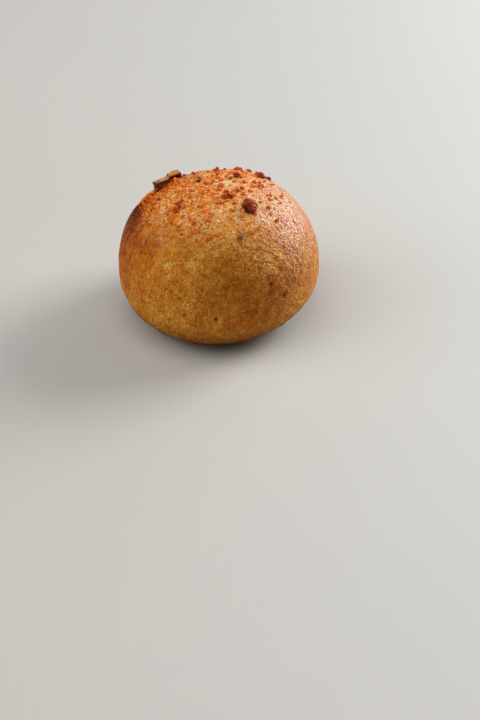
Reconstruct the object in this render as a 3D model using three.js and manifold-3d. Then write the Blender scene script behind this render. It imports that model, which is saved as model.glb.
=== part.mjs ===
// Onion bun: a round, slightly flattened bread roll with a crumbly topping and one fried onion petal.
// Millimetres, +Z up. The origin is the middle of the flat base, and the front of the bun faces -Y.
// A place on the bun is a bearing round it (0 is +X, 90 is the back) and a lean away from its crown,
// both in degrees and both seen from the middle of its girth.

import * as THREE from "three";
import { mergeVertices } from "three/addons/utils/BufferGeometryUtils.js";
import Module from "manifold-3d";

const wasm = await Module();
wasm.setup();

// Bun
const BUN_WIDTH = 80;
const BUN_HEIGHT = 56.5;
const GIRTH_HEIGHT = 20.5; // where the bun is widest
const BELLY_DEPTH = 24; // the lower curve's reach below the girth, which the flat base cuts short
const DOME_FULLNESS = 2.23; // superellipse exponents: 2 is an ellipse, more is squarer
const BELLY_FULLNESS = 2.29;
const CRUST_SPLITS = 12; // splits of each edge of the icosahedron that becomes the crust

// Swells and hollows of the hand-shaped dough: where they are, how far they spread and how high they rise
const SWELLS = [
  { bearing: 240, lean: 118, spread: 30, rise: 0.6 },
  { bearing: 180, lean: 85, spread: 28, rise: -0.3 },
  { bearing: 315, lean: 115, spread: 28, rise: -0.8 },
  { bearing: 0, lean: 85, spread: 25, rise: 0.4 },
  { bearing: 125, lean: 40, spread: 24, rise: -0.8 },
  { bearing: 65, lean: 40, spread: 22, rise: -0.1 },
  { bearing: 105, lean: 37, spread: 26, rise: -0.55 },
  { bearing: 305, lean: 68, spread: 17, rise: 0.6 },
  { bearing: 285, lean: 45, spread: 14, rise: -0.4 },
  { bearing: 95, lean: 95, spread: 35, rise: 0.4 },
];

// Toasted nuggets, the large crumbs: length along the crust, width, and height from foot to top
const NUGGETS = [
  { bearing: 317, lean: 26, length: 6.4, width: 5.2, height: 4.6 },
  { bearing: 299, lean: 11.5, length: 4.0, width: 3.6, height: 3.4 },
  { bearing: 346, lean: 12, length: 2.6, width: 2.4, height: 2.2 },
  { bearing: 53, lean: 20.6, length: 3.6, width: 2.4, height: 2.0 },
  { bearing: 55, lean: 13.6, length: 1.6, width: 1.4, height: 1.2 },
  { bearing: 44.5, lean: 37, length: 5.0, width: 3.2, height: 2.6 },
  { bearing: 48, lean: 43, length: 2.0, width: 1.8, height: 1.8 },
  { bearing: 42, lean: 43, length: 2.8, width: 2.2, height: 1.8 },
  { bearing: 60.5, lean: 40.5, length: 3.2, width: 2.4, height: 2.0 },
  { bearing: 70, lean: 37, length: 4.0, width: 2.6, height: 2.0 },
  { bearing: 91, lean: 37, length: 1.8, width: 1.6, height: 1.8 },
  { bearing: 216, lean: 30.5, length: 3.8, width: 3.0, height: 1.6 },
  { bearing: 208, lean: 27.2, length: 3.0, width: 2.4, height: 1.6 },
  { bearing: 256.5, lean: 29, length: 3.4, width: 2.8, height: 1.6 },
  { bearing: 248, lean: 38.5, length: 2.8, width: 2.4, height: 1.4 },
  { bearing: 300, lean: 40.6, length: 2.6, width: 1.8, height: 1.5 },
  { bearing: 16, lean: 28, length: 2.8, width: 2.2, height: 1.8 },
  { bearing: 11.7, lean: 22.4, length: 2.2, width: 1.6, height: 1.4 },
  { bearing: 308.6, lean: 16.7, length: 2.4, width: 2.0, height: 1.6 },
  { bearing: 274, lean: 16.5, length: 2.8, width: 2.6, height: 1.6 },
  { bearing: 112, lean: 6.3, length: 3.0, width: 2.2, height: 1.4 },
  { bearing: 351, lean: 32.3, length: 2.0, width: 1.4, height: 1.2 },
  { bearing: 293, lean: 23, length: 2.4, width: 2.0, height: 1.2 },
  { bearing: 136, lean: 16, length: 1.5, width: 1.2, height: 1.2 },
];
const NUGGET_SPLITS = 1;
const NUGGET_KNOBS = 0.16; // how far a corner of a nugget may move in or out, as a share of its radius

// Small crumbs, scattered round the crown on a golden-angle spiral and thinning out down the dome
const CRUMB_COUNT = 120;
const CRUMB_PLACE_SEED = 31;
const CRUMB_LEAN = 43; // the outermost crumbs
const CRUMB_SPREAD = 0.62; // 0.5 spreads them evenly, more crowds them round the crown
const CRUMB_STRAY = 20; // how far a crumb's bearing may stray from the spiral
const CRUMB_LENGTH = [2.2, 1.4]; // at the crown and at the outermost crumbs
const CRUMB_SIZE_RANGE = [0.8, 1.1]; // share of the length that a crumb there has
const CRUMB_SLIMNESS = [0.6, 0.95]; // width and height as shares of the length
const CRUMB_KNOBS = 0.25;
const GOLDEN_ANGLE = 137.5;

const KNOB_SEED = 7;
const GRAIN_FOOT = 0.1; // share of a nugget's or crumb's height from the crust up to its middle

// Onion petal: an arched strip that lies up the slope of the shoulder, open to the front
const PETAL_BEARING = 153;
const PETAL_LEAN = 33.6;
const PETAL_HEADING = 52; // turn of its length away from straight uphill, towards the back
const PETAL_LENGTH = 12.5;
const PETAL_THICKNESS = 1.1;
const PETAL_ARCH_RADIUS = 2.3;
const PETAL_ARCH_HEIGHT = 1.0; // height of the arch's centre over the crust
const PETAL_ARCH_ANGLES = [40, 215]; // from the front lip, over the top, to the back foot
const PETAL_FOLD_LIFT = 0.55; // past a fold the uphill half sits higher
const PETAL_FOLD_SWELL = 0.35; // and its arch is wider
const PETAL_FOLD_SPAN = [0.46, 0.55]; // shares of the length, from the downhill end
const PETAL_END_DROOP = 0.5; // how much the arch narrows towards its uphill end
const PETAL_DROOP_SPAN = [0.75, 1];
const PETAL_END_SLANT = 2.0; // how much further the back foot reaches there than the front lip
const PETAL_SLANT_SPAN = [0.5, 1];
const PETAL_WAVE = 0.35; // ripple of its long edges and raggedness of its ends
const PETAL_EDGE_RIPPLES = 1.25; // along the length
const PETAL_END_RIPPLES = 3; // round the arch
const PETAL_STEPS_ALONG = 28;
const PETAL_STEPS_ROUND = 12;
const PETAL_GAP = 0.3; // between the petal and the crust or crumbs
const PETAL_CLEARING = 3.8; // crumbs keep this far from the petal's middle line

const BUN_RADIUS = BUN_WIDTH / 2;
const DOME_RISE = BUN_HEIGHT - GIRTH_HEIGHT;

const { degToRad, lerp, smoothstep } = THREE.MathUtils;

// Repeatable draws between 0 and 1
function seededDraws(seed) {
  let state = seed;
  return () => {
    state = (state + 0x6d2b79f5) | 0;
    let mixed = Math.imul(state ^ (state >>> 15), 1 | state);
    mixed = (mixed + Math.imul(mixed ^ (mixed >>> 7), 61 | mixed)) ^ mixed;
    return ((mixed ^ (mixed >>> 14)) >>> 0) / 2 ** 32;
  };
}

// Unit direction from the middle of the girth
function facing({ bearing, lean }) {
  const round = degToRad(bearing);
  const down = degToRad(lean);
  return new THREE.Vector3(Math.sin(down) * Math.cos(round), Math.sin(down) * Math.sin(round), Math.cos(down));
}

// Distance from the middle of the girth to the crust in a direction
function crustReach(direction) {
  const above = direction.z > 0;
  const fullness = above ? DOME_FULLNESS : BELLY_FULLNESS;
  const across = Math.hypot(direction.x, direction.y) / BUN_RADIUS;
  const along = Math.abs(direction.z) / (above ? DOME_RISE : BELLY_DEPTH);
  let reach = (across ** fullness + along ** fullness) ** (-1 / fullness);
  for (const swell of SWELLS) {
    const away = direction.angleTo(facing(swell)) / degToRad(swell.spread);
    reach += swell.rise * Math.exp(-away * away);
  }
  return reach;
}

// Point of the crust in a direction
function crustPoint(direction) {
  const point = direction.clone().multiplyScalar(crustReach(direction));
  point.z += GIRTH_HEIGHT;
  return point;
}

// Axes that stand on the crust: x uphill turned by a heading, z straight out of the crust
function crustAxes(place, heading) {
  const step = 0.5;
  const here = crustPoint(facing(place));
  const uphill = crustPoint(facing({ bearing: place.bearing, lean: place.lean - step })).sub(here);
  const sideways = crustPoint(facing({ bearing: place.bearing + step, lean: place.lean })).sub(here);
  const outwards = sideways.cross(uphill).normalize();
  const along = uphill.normalize().applyAxisAngle(outwards, degToRad(heading));
  const across = outwards.clone().cross(along);
  return new THREE.Matrix4().makeBasis(along, across, outwards).setPosition(here);
}

// Geometry with its shared corners merged
function weld(geometry) {
  geometry.deleteAttribute("normal");
  geometry.deleteAttribute("uv");
  return mergeVertices(geometry);
}

// Moves every corner of a geometry by a function of its position
function reshape(geometry, move) {
  const position = geometry.getAttribute("position");
  const corner = new THREE.Vector3();
  for (let index = 0; index < position.count; index += 1) {
    move(corner.fromBufferAttribute(position, index));
    position.setXYZ(index, corner.x, corner.y, corner.z);
  }
  return geometry;
}

function solidFrom(geometry) {
  const vertProperties = new Float32Array(geometry.getAttribute("position").array);
  const triVerts = new Uint32Array(geometry.getIndex().array);
  return new wasm.Manifold(new wasm.Mesh({ numProp: 3, vertProperties, triVerts }));
}

// Largest single body of a solid, without loose scraps and with sealed pockets filled
function mainBody(solid) {
  const bodies = solid.decompose();
  return bodies.reduce((largest, body) => (body.volume() > largest.volume() ? body : largest));
}

function meshFrom(solid, name, material) {
  const { numProp, vertProperties, triVerts } = solid.getMesh();
  const geometry = new THREE.BufferGeometry();
  geometry.setAttribute("position", new THREE.BufferAttribute(vertProperties, numProp));
  geometry.setIndex(new THREE.BufferAttribute(triVerts, 1));
  geometry.computeVertexNormals();
  const mesh = new THREE.Mesh(geometry, material);
  mesh.name = name;
  return mesh;
}

// Dough body, optionally grown outwards to make room for what lies on it
function doughSolid(growth = 0) {
  const ball = weld(new THREE.IcosahedronGeometry(1, CRUST_SPLITS));
  const crust = reshape(ball, (corner) => {
    const direction = corner.clone().normalize();
    corner.copy(crustPoint(direction)).addScaledVector(direction, growth);
  });
  const below = weld(new THREE.BoxGeometry(2 * BUN_WIDTH, 2 * BUN_WIDTH, BUN_HEIGHT));
  below.translate(0, 0, -BUN_HEIGHT / 2);
  return solidFrom(crust).subtract(solidFrom(below));
}

// Knobby grain that stands on the crust with its foot sunk in
function grainSolid(grain, splits, knobs, draw) {
  const ball = weld(new THREE.IcosahedronGeometry(1, splits));
  const half = new THREE.Vector3(grain.length / 2, grain.width / 2, grain.height / 2);
  const shape = reshape(ball, (corner) => {
    corner.multiplyScalar(1 + knobs * (2 * draw() - 1)).multiply(half);
    corner.z += grain.height * GRAIN_FOOT;
  });
  shape.applyMatrix4(crustAxes(grain, 360 * draw()));
  return solidFrom(shape);
}

// Places and sizes of the small crumbs
function scatterCrumbs() {
  const draw = seededDraws(CRUMB_PLACE_SEED);
  const crumbs = [];
  for (let index = 0; index < CRUMB_COUNT; index += 1) {
    const share = (index + draw()) / CRUMB_COUNT;
    const bearing = index * GOLDEN_ANGLE + CRUMB_STRAY * (draw() - 0.5);
    const lean = CRUMB_LEAN * share ** CRUMB_SPREAD;
    const length = lerp(...CRUMB_LENGTH, share) * lerp(...CRUMB_SIZE_RANGE, draw());
    const width = length * lerp(...CRUMB_SLIMNESS, draw());
    const height = length * lerp(...CRUMB_SLIMNESS, draw());
    crumbs.push({ bearing, lean, length, width, height });
  }
  return crumbs;
}

// True where a crumb is clear of the petal's strip on the shoulder
function clearOfPetal(crumb, petalAxes) {
  const local = crustPoint(facing(crumb)).applyMatrix4(petalAxes.clone().invert());
  const beyondEnd = Math.max(0, Math.abs(local.x) - PETAL_LENGTH / 2);
  return Math.hypot(beyondEnd, local.y) > PETAL_CLEARING + crumb.length / 2;
}

// Bends a flat unit block into the petal: x along its length, y from front lip to back foot, z its thickness
function bendPetal(corner) {
  const along = corner.x + 0.5;
  const round = corner.y + 0.5;
  const angle = degToRad(lerp(...PETAL_ARCH_ANGLES, round));
  const fold = smoothstep(along, ...PETAL_FOLD_SPAN);
  const droop = PETAL_END_DROOP * smoothstep(along, ...PETAL_DROOP_SPAN);
  const slant = PETAL_END_SLANT * (1 - round) * smoothstep(along, ...PETAL_SLANT_SPAN);
  const ripple = PETAL_WAVE * Math.sin(2 * Math.PI * PETAL_EDGE_RIPPLES * along) * Math.cos(Math.PI * round);
  const arch = PETAL_ARCH_RADIUS + PETAL_FOLD_SWELL * fold - droop + ripple;
  const radius = arch + PETAL_THICKNESS * corner.z;
  const raggedEnd = PETAL_WAVE * Math.sin(PETAL_END_RIPPLES * angle) * Math.abs(2 * corner.x);
  const height = PETAL_ARCH_HEIGHT + PETAL_FOLD_LIFT * fold;
  corner.set(
    PETAL_LENGTH * corner.x - slant + raggedEnd,
    -radius * Math.cos(angle),
    height + radius * Math.sin(angle),
  );
}

function petalSolid(axes) {
  const block = weld(new THREE.BoxGeometry(1, 1, 1, PETAL_STEPS_ALONG, PETAL_STEPS_ROUND, 1));
  const strip = reshape(block, bendPetal).applyMatrix4(axes);
  return mainBody(solidFrom(strip).subtract(doughSolid(PETAL_GAP)));
}

const crustMaterial = new THREE.MeshStandardMaterial({ color: 0xa86a2c, roughness: 0.62, metalness: 0 });
const petalMaterial = new THREE.MeshStandardMaterial({ color: 0x9a6a3a, roughness: 0.55, metalness: 0 });

const draw = seededDraws(KNOB_SEED);
const petalAxes = crustAxes({ bearing: PETAL_BEARING, lean: PETAL_LEAN }, PETAL_HEADING);

let bunSolid = doughSolid();
for (const nugget of NUGGETS) {
  bunSolid = bunSolid.add(grainSolid(nugget, NUGGET_SPLITS, NUGGET_KNOBS, draw));
}
for (const crumb of scatterCrumbs()) {
  if (clearOfPetal(crumb, petalAxes)) {
    bunSolid = bunSolid.add(grainSolid(crumb, 0, CRUMB_KNOBS, draw));
  }
}

const onionBun = new THREE.Group();
onionBun.add(meshFrom(mainBody(bunSolid), "bun", crustMaterial));
onionBun.add(meshFrom(petalSolid(petalAxes), "onion_petal", petalMaterial));

export default onionBun;
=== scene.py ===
"""Onion bun: a golden bread roll with a toasted crumb topping and a fried onion petal, on a studio stage.

A place on the bun is a bearing round it (0 is +X, 90 is the back) and a lean away from its crown, both in
degrees and both seen from the middle of its girth. Blender's lengths are metres. The tables of swells,
pits and nuggets give millimetres, as a baker would measure them.
"""

from itertools import islice
from typing import NamedTuple

import bmesh
import bpy
import numpy as np
from mathutils import Matrix, Vector, noise


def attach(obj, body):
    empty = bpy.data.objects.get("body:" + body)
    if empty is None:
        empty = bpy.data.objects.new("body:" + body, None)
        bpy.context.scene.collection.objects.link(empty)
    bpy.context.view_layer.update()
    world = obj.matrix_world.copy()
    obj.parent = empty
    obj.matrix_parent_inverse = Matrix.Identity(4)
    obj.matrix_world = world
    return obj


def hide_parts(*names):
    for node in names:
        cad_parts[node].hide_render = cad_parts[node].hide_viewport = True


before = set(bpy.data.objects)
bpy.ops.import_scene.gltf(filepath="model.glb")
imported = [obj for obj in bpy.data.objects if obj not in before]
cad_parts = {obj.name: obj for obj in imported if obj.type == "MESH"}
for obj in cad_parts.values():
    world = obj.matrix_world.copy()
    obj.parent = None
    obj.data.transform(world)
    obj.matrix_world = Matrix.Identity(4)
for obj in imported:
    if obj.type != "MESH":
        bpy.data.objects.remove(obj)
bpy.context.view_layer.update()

bl_info = {
    "name": "Onion bun",
    "version": (1, 0, 0),
    "blender": (4, 5, 0),
    "location": "View3D > Sidebar > Onion bun",
    "description": "Bakes an onion bun with its crumb topping and onion petal, and sets up its studio stage",
    "category": "Add Mesh",
}

MM = 0.001
BODY = "root"
PICTURE_SIZE = (480, 720)
GOLDEN_ANGLE = 137.5
NUGGET_GLOSS = 0.22
CRUMB_GLOSS = 0.12
WARM_LIGHT = (1.0, 0.97, 0.93)
COOL_LIGHT = (0.83, 0.96, 1.0)


def srgb(red, green, blue):
    """Blender's linear colour for display values from 0 to 255."""
    shares = np.array((red, green, blue)) / 255
    return tuple(np.where(shares <= 0.04045, shares / 12.92, ((shares + 0.055) / 1.055) ** 2.4))


# Forms that are placed one by one


class Swell(NamedTuple):
    """A soft rise or hollow of the hand-shaped dough, in degrees and millimetres."""

    bearing: float
    lean: float
    spread: float
    rise: float


class Pit(NamedTuple):
    """A small hole in the crust, in degrees and millimetres."""

    bearing: float
    lean: float
    width: float
    depth: float


class Patch(NamedTuple):
    """A part of the crust that differs from the rest, in degrees, and by how much."""

    bearing: float
    lean: float
    spread: float
    share: float


class Nugget(NamedTuple):
    """A large toasted crumb: its place, its size in millimetres and how dark it is toasted."""

    bearing: float
    lean: float
    length: float
    width: float
    height: float
    toast: float


SWELLS = (
    Swell(240, 118, 30, 0.6), Swell(180, 85, 28, -0.3), Swell(315, 115, 28, -0.8),
    Swell(0, 85, 25, 0.4), Swell(125, 40, 24, -0.8), Swell(65, 40, 22, -0.1),
    Swell(105, 37, 26, -0.55), Swell(305, 68, 17, 0.6), Swell(285, 45, 14, -0.4),
    Swell(95, 95, 35, 0.4),
)

SKIN_RIDGE = ((279.4, 37.1), (288.0, 45.8), (294.5, 53.3), (297.8, 61.8), (304.4, 70.4), (308.8, 82.5))

PITS = (
    Pit(288.4, 43.2, 3.4, 1.3), Pit(261.5, 43.3, 1.4, 0.4), Pit(264, 42, 1.3, 0.35),
    Pit(310.6, 65.1, 2.2, 0.36), Pit(301.5, 71.2, 1.6, 0.6), Pit(309.6, 81.2, 2.0, 0.7),
    Pit(299.6, 75.9, 2.4, 0.3), Pit(268.8, 87.9, 1.5, 0.7), Pit(272.7, 91.3, 1.0, 0.3),
    Pit(219, 78.8, 1.1, 0.4), Pit(248, 77.4, 1.1, 0.35), Pit(242.5, 74.3, 1.0, 0.3),
    Pit(230, 78.5, 1.0, 0.3), Pit(261, 69.8, 0.9, 0.25), Pit(290, 61, 0.8, 0.35),
    Pit(286.6, 74.3, 0.8, 0.3),
)

# Negative shares lighten the crust; the one at bearing 320, lean 91 is a painted reflection along the lower
# right edge.
BROWNED_PATCHES = (
    Patch(168, 59, 12, 0.28), Patch(188, 57, 11, 0.24), Patch(176, 56, 9, 0.26),
    Patch(194, 70, 14, 0.12), Patch(200, 74, 26, 0.09), Patch(256, 46, 20, -0.07),
    Patch(220, 50, 15, 0.08), Patch(311, 78, 11, 0.18), Patch(320, 91, 12, -0.10),
    Patch(292, 43, 11, -0.07), Patch(290, 59, 10, 0.08), Patch(281, 43.5, 5, -0.14),
    Patch(308, 61, 6, -0.12), Patch(304, 43, 6, -0.10), Patch(195, 40, 9, 0.05),
    Patch(348, 60, 26, 0.04), Patch(288, 88, 12, 0.08), Patch(235, 100, 34, -0.05),
    Patch(90, 62, 30, 0.10), Patch(60, 85, 30, 0.06),
)

# Painted shade: where these patches lie the crust is multiplied by a grey-brown, on the front facet that
# turns away from the key light and lower down at the front and on the right.
PAINTED_SHADE_PATCHES = (
    Patch(277, 63, 17, 0.43), Patch(262, 72, 24, 0.10), Patch(311, 76, 12, 0.20),
    Patch(357, 54, 9, 0.14),
)

TOPPED_PATCHES = (
    Patch(240, 13, 36, 1.0), Patch(174, 36, 20, 0.6), Patch(172, 46, 13, 0.5),
    Patch(90, 22, 34, 0.6), Patch(114, 47, 9, -0.9), Patch(58, 39, 12, 0.5),
)

SHAGGY_PATCHES = (
    Patch(162, 50, 10, 1.0), Patch(172, 58, 8, 0.6), Patch(58, 40, 12, 0.8),
)

# The small patch at bearing 169, lean 44 darkens the left shoulder's crumbs, partly as toasting and partly as
# painted shade among them.
TOASTED_PATCHES = (
    Patch(248, 34, 15, 0.01), Patch(152, 23, 9, 0.06), Patch(184, 29, 7, -0.04),
    Patch(214, 34, 13, -0.03), Patch(227, 21, 10, 0.05), Patch(278, 13, 7, 0.02),
    Patch(85, 42, 24, 0.16), Patch(172, 46, 18, 0.20), Patch(169, 44, 6, 0.08),
    Patch(296, 29, 7, -0.06), Patch(150, 25, 16, 0.04),
)

BARE_PATCHES = (
    Patch(65, 5.0, 3.6, 0.8), Patch(40, 9.5, 4.2, 1.0), Patch(5, 5.0, 3.2, 0.7),
    Patch(14, 10.0, 3.2, 0.6), Patch(76, 8.2, 3.0, 0.6),
)

ROUGH_PATCHES = (
    Patch(308, 55, 15, 1.0), Patch(318, 72, 15, 0.9), Patch(338, 48, 22, 0.4),
    Patch(335, 85, 18, 0.4), Patch(316, 93, 12, 0.8), Patch(200, 64, 16, 0.5),
)

GLAZED_PATCHES = (
    Patch(341, 42, 26, 0.9), Patch(322, 57, 17, 0.15), Patch(316, 43, 7, -0.2),
    Patch(322, 32, 9, 0.4), Patch(60, 58, 35, 0.6), Patch(125, 62, 35, 0.5),
)

NUGGETS = (
    Nugget(317, 26, 6.4, 5.2, 4.6, 0.85), Nugget(299, 11.5, 4.0, 3.6, 3.4, 0.69),
    Nugget(346, 12, 2.6, 2.4, 2.2, 0.50), Nugget(53, 20.6, 3.6, 2.4, 2.0, 0.86),
    Nugget(55, 13.6, 1.6, 1.4, 1.2, 0.88), Nugget(44.5, 37, 5.0, 3.2, 2.6, 0.80),
    Nugget(48, 43, 2.0, 1.8, 1.8, 0.97), Nugget(42, 43, 2.8, 2.2, 1.8, 0.82),
    Nugget(60.5, 40.5, 3.2, 2.4, 2.0, 0.72), Nugget(70, 37, 4.0, 2.6, 2.0, 0.68),
    Nugget(91, 37, 1.8, 1.6, 1.8, 0.72), Nugget(216, 30.5, 3.8, 3.0, 1.6, 0.74),
    Nugget(208, 27.2, 3.0, 2.4, 1.6, 0.66), Nugget(256.5, 29, 3.4, 2.8, 1.6, 0.35),
    Nugget(248, 38.5, 2.8, 2.4, 1.4, 0.48), Nugget(300, 40.6, 2.6, 1.8, 1.5, 0.46),
    Nugget(16, 28, 2.8, 2.2, 1.8, 0.54), Nugget(11.7, 22.4, 2.2, 1.6, 1.4, 0.46),
    Nugget(308.6, 16.7, 2.4, 2.0, 1.6, 0.26), Nugget(274, 16.5, 2.8, 2.6, 1.6, 0.52),
    Nugget(112, 6.3, 3.0, 2.2, 1.4, 0.56), Nugget(351, 32.3, 2.0, 1.4, 1.2, 0.54),
    Nugget(293, 23, 2.4, 2.0, 1.2, 0.28), Nugget(136, 16, 1.5, 1.2, 1.2, 1.0),
)


# Properties


def number(name, description, default, **kind):
    """A setting for a number, whose kind is a unit or a subtype."""
    return bpy.props.FloatProperty(name=name, description=description, default=default, **kind)


def numbers(name, description, default, **kind):
    """A setting for a few numbers that belong together."""
    return bpy.props.FloatVectorProperty(
        name=name, description=description, default=default, size=len(default), **kind
    )


def whole_number(name, description, default):
    """A setting for a whole number."""
    return bpy.props.IntProperty(name=name, description=description, default=default)


def metres(name, description, default):
    """A setting for a length."""
    return number(name, description, default, unit="LENGTH")


def degrees(name, description, default):
    """A setting for an angle."""
    return number(name, description, np.radians(default), subtype="ANGLE")


def watts(name, description, default):
    """A setting for a lamp's power."""
    return number(name, description, default, unit="POWER")


def display_colour(name, description, red, green, blue):
    """A setting for a colour, from display values between 0 and 255."""
    return numbers(name, description, srgb(red, green, blue), subtype="COLOR")


class CrustSettings(bpy.types.PropertyGroup):
    """Sizes and colours of the bread's crust."""

    width: metres("Width", "Width of the bun at its girth", 0.080)
    height: metres("Height", "Height of the bare bun", 0.0565)
    girth_height: metres("Girth height", "Where the bun is widest", 0.0205)
    belly_depth: metres("Belly depth", "Reach of the lower curve, cut short by the base", 0.024)
    dome_fullness: number("Dome fullness", "2 is an ellipse, more is squarer", 2.23)
    belly_fullness: number("Belly fullness", "2 is an ellipse, more is squarer", 2.29)
    base_softness: metres("Base softness", "Rounding of the flat base's rim", 0.0009)
    mesh_steps: whole_number("Mesh steps", "Squares along each edge of the crust's six fields", 126)
    pore_count: whole_number("Pores", "Small pores spread over the crust", 150)
    ridge_pit_count: whole_number("Ridge hollows", "Shallow hollows beside the skin's ridge", 22)
    pale: display_colour("Pale crust", "Least browned crust", 242, 194, 104)
    golden: display_colour("Golden crust", "Evenly baked crust", 214, 142, 40)
    amber: display_colour("Amber crust", "Well baked crust", 192, 96, 20)
    russet: display_colour("Russet crust", "Dark, reddish crust", 124, 48, 10)
    umber: display_colour("Umber specks", "Fine dark grain", 126, 60, 8)
    char: display_colour("Charred crust", "Darkest crust", 66, 28, 8)


class CrumbSettings(bpy.types.PropertyGroup):
    """Sizes and colours of the crumb topping."""

    reach: degrees("Topping reach", "Lean of the outermost coarse crumbs", 43.0)
    coarse_count: whole_number("Coarse crumbs", "Crumbs of 1 to 2 mm", 120)
    coarse_seed: whole_number("Coarse seed", "Draws that place the coarse crumbs", 31)
    fine_count: whole_number("Fine crumbs", "Before the petal and the nuggets are cleared of them", 4200)
    fine_seed: whole_number("Fine seed", "Draws that place the fine crumbs", 12)
    fine_length: numbers("Fine lengths", "Shortest and longest fine crumb", (0.0005, 0.0012), unit="LENGTH")
    cream: display_colour("Cream crumb", "Barely toasted crumb", 250, 214, 158)
    golden: display_colour("Golden crumb", "Lightly toasted crumb", 238, 166, 72)
    orange: display_colour("Orange crumb", "Toasted crumb", 241, 121, 12)
    rust: display_colour("Rust crumb", "Well toasted crumb", 168, 58, 14)
    char: display_colour("Charred crumb", "Burnt crumb", 66, 22, 12)


class PetalSettings(bpy.types.PropertyGroup):
    """Place, size and colours of the fried onion petal."""

    bearing: degrees("Bearing", "Where it lies round the bun", 153.0)
    lean: degrees("Lean", "How far it lies from the crown", 33.6)
    heading: degrees("Heading", "Turn of its length away from straight uphill", 52.0)
    length: metres("Length", "Length of the strip", 0.0125)
    thickness: metres("Thickness", "Thickness of the flesh", 0.0011)
    arch_radius: metres("Arch radius", "Radius of the curl", 0.0023)
    arch_height: metres("Arch height", "Height of the curl's centre over the crust", 0.001)
    tan: display_colour("Tan flesh", "Fried outer side", 214, 152, 82)
    rust: display_colour("Rust flesh", "Fried right end", 184, 84, 30)
    brown: display_colour("Brown flesh", "Darker fried parts", 148, 72, 24)
    char: display_colour("Charred flesh", "Burnt rim and inside", 58, 24, 12)


class StageSettings(bpy.types.PropertyGroup):
    """Floor, light and camera."""

    floor_colour: display_colour("Floor", "Colour of the floor", 196, 195, 192)
    floor_size: metres("Floor size", "Side of the floor", 6.0)
    lens: number("Lens", "Focal length for a 36 mm sensor", 85.0, unit="CAMERA")
    elevation: degrees("Elevation", "Height angle of the line of sight to the bun", 34.0)
    distance: metres("Distance", "From the camera to the bun", 0.680)
    sight_height: metres("Sight height", "Height of the point that is sighted", 0.0245)
    sight_pixel: numbers("Sight pixel", "Sighted point in the 480 by 720 picture", (218.1, 255.5))
    key_power: watts("Key power", "Softbox behind the bun on the right", 20.5)
    sheen_power: watts("Sheen power", "Low softbox seen only in the gloss", 51.0)
    fill_power: watts("Fill power", "Softbox on the left", 8.8)
    top_power: watts("Top power", "Softbox overhead", 10.0)
    room_light: number("Room light", "Strength of the even light all round", 0.10)


# Shape of the dough


def facing(bearing, lean):
    """Unit directions from the middle of the girth, for angles in degrees."""
    bearing, lean = np.broadcast_arrays(np.radians(bearing), np.radians(lean))
    return np.stack(
        [np.sin(lean) * np.cos(bearing), np.sin(lean) * np.sin(bearing), np.cos(lean)], axis=-1
    )


def fade(cosines, spread):
    """Soft weights for angles given by their cosines: 1 at no angle, fading over a spread in degrees."""
    away = np.degrees(np.arccos(np.clip(cosines, -1, 1)))
    return np.exp(-((away / spread) ** 2))


def closeness(directions, place, spread):
    """Soft weights: 1 in the direction of a place, fading to 0 around it over a spread in degrees."""
    return fade(directions @ facing(place.bearing, place.lean), spread)


def crust_reach(directions, crust):
    """Distances from the middle of the girth to the smooth crust."""
    above = directions[..., 2] > 0
    fullness = np.where(above, crust.dome_fullness, crust.belly_fullness)
    rise = np.where(above, crust.height - crust.girth_height, crust.belly_depth)
    across = np.hypot(directions[..., 0], directions[..., 1]) / (crust.width / 2)
    along = np.abs(directions[..., 2]) / rise
    reach = (across**fullness + along**fullness) ** (-1 / fullness)
    for swell in SWELLS:
        reach = reach + swell.rise * MM * closeness(directions, swell, swell.spread)
    return reach


def crust_points(directions, crust):
    """Points of the smooth crust."""
    middle = np.array((0, 0, crust.girth_height))
    return directions * crust_reach(directions, crust)[..., None] + middle


def unit(vectors):
    """Vectors brought to length 1."""
    return vectors / np.linalg.norm(vectors, axis=-1, keepdims=True)


def crust_axes(bearing, lean, heading, crust):
    """Points of the crust and axes that stand on it: x uphill turned by a heading, z out of the crust."""
    step = 0.5
    here = crust_points(facing(bearing, lean), crust)
    uphill = unit(crust_points(facing(bearing, lean - step), crust) - here)
    sideways = crust_points(facing(bearing + step, lean), crust) - here
    outwards = unit(np.cross(sideways, uphill))
    turn = np.radians(heading)[..., None]
    along = np.cos(turn) * uphill + np.sin(turn) * np.cross(outwards, uphill)
    across = np.cross(outwards, along)
    return here, np.stack([along, across, outwards], axis=-2)


def bumps(points, size, seed):
    """Smooth noise from about -1 to 1, with bumps of about a size."""
    shift = Vector((seed * 7.31, seed * 3.17, seed * 5.53))
    return np.array([noise.noise(Vector(point) / size + shift) for point in points])


def granules(points, size, seed):
    """Rounded lumps of about a size that crowd together, from about -0.4 between them to 0.5 on top."""
    shift = Vector((seed * 4.19, seed * 8.27, seed * 2.71))
    return np.array([0.5 - noise.voronoi(Vector(point) / size + shift)[0][0] for point in points])


def along_line(places, marks):
    """Bearings and leans on a line through places, at marks that count from its first place."""
    bearings, leans = np.transpose(places)
    steps = np.arange(len(places))
    return np.interp(marks, steps, bearings), np.interp(marks, steps, leans)


def line_weight(directions, places, spread):
    """Soft weights: 1 along a line through places, fading to 0 on both sides over a spread in degrees."""
    marks = np.linspace(0, len(places) - 1, 6 * len(places))
    line = facing(*along_line(places, marks))
    return fade(np.max(directions @ line.T, axis=1), spread)


def softly_above(heights, softness):
    """Heights that level off at 0 instead of going below it, with a rounded bend."""
    return softness * np.logaddexp(0, heights / softness)


def smooth_step(value, start, end):
    """Shares that go from 0 at a start to 1 at an end, with soft bends."""
    share = np.clip((value - start) / (end - start), 0, 1)
    return share * share * (3 - 2 * share)


# Meshes


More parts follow.
